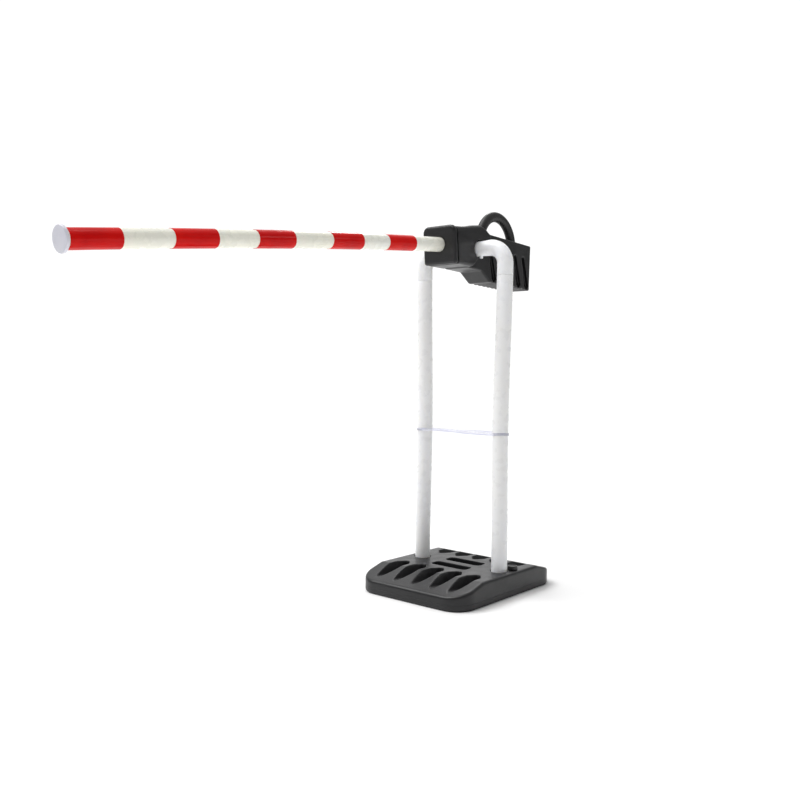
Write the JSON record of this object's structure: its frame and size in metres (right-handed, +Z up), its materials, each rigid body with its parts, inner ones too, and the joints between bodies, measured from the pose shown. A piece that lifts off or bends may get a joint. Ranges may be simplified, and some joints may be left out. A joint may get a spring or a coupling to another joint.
{
  "type": "parking barrier gate",
  "caption": "Play parking barrier: black ballasted base, two bent white uprights and a tilting black head with a loop handle, counterweight arm and red-banded white boom.",
  "frame": {"origin": "on the floor under the pivot axis, midway between the two uprights", "axes": "+Z up, the boom points to -X, +Y to the left upright; the pivot axis runs along Y"},
  "size_m": [1.0896, 0.262, 0.7936],
  "materials": {
    "black_plastic": "satin",
    "handle_black": "matte",
    "white_plastic": "satin",
    "red_tape": "gloss",
    "clear_band": "gloss",
    "steel": "satin",
    "cast_iron": "matte",
    "rubber": "matte",
    "sand": "matte"
  },
  "bodies": {
    "stand": {"base_shell": "black_plastic", "ballast_fill": "sand", "upright_tube_left": "white_plastic", "upright_tube_right": "white_plastic", "elbow_left": "white_plastic", "elbow_right": "white_plastic", "coupler_left": "white_plastic", "coupler_right": "white_plastic", "retaining_peg_left": "white_plastic", "retaining_peg_right": "white_plastic", "tension_band": "clear_band"},
    "filler": {"filler_plug": "black_plastic", "plug_seal": "rubber"},
    "boom_arm": {"head_body": "black_plastic", "boom_collar": "black_plastic", "boom_cross_pin": "steel", "boom_end_cap": "white_plastic", "boom_tube": "white_plastic", "counterweight": "cast_iron", "counterweight_bolt_left": "steel", "counterweight_bolt_right": "steel", "handle_pin_front": "steel", "handle_pin_rear": "steel", "lift_handle": "handle_black", "pivot_bush_left": "white_plastic", "pivot_bush_right": "white_plastic", "red_band_1": "red_tape", "red_band_2": "red_tape", "red_band_3": "red_tape", "red_band_4": "red_tape", "red_band_5": "red_tape", "swing_stop_pin": "steel"}
  },
  "joints": [
    {"name": "boom_lift", "type": "hinge", "parent": "stand", "child": "boom_arm", "pos_m": [0, 0, 0.6955], "axis": [0, 1, 0], "range_deg": [0, 85]},
    {"name": "plug_pull", "type": "slide", "parent": "stand", "child": "filler", "axis": [0, 0, 1], "range_m": [0, 0.02]}
  ]
}
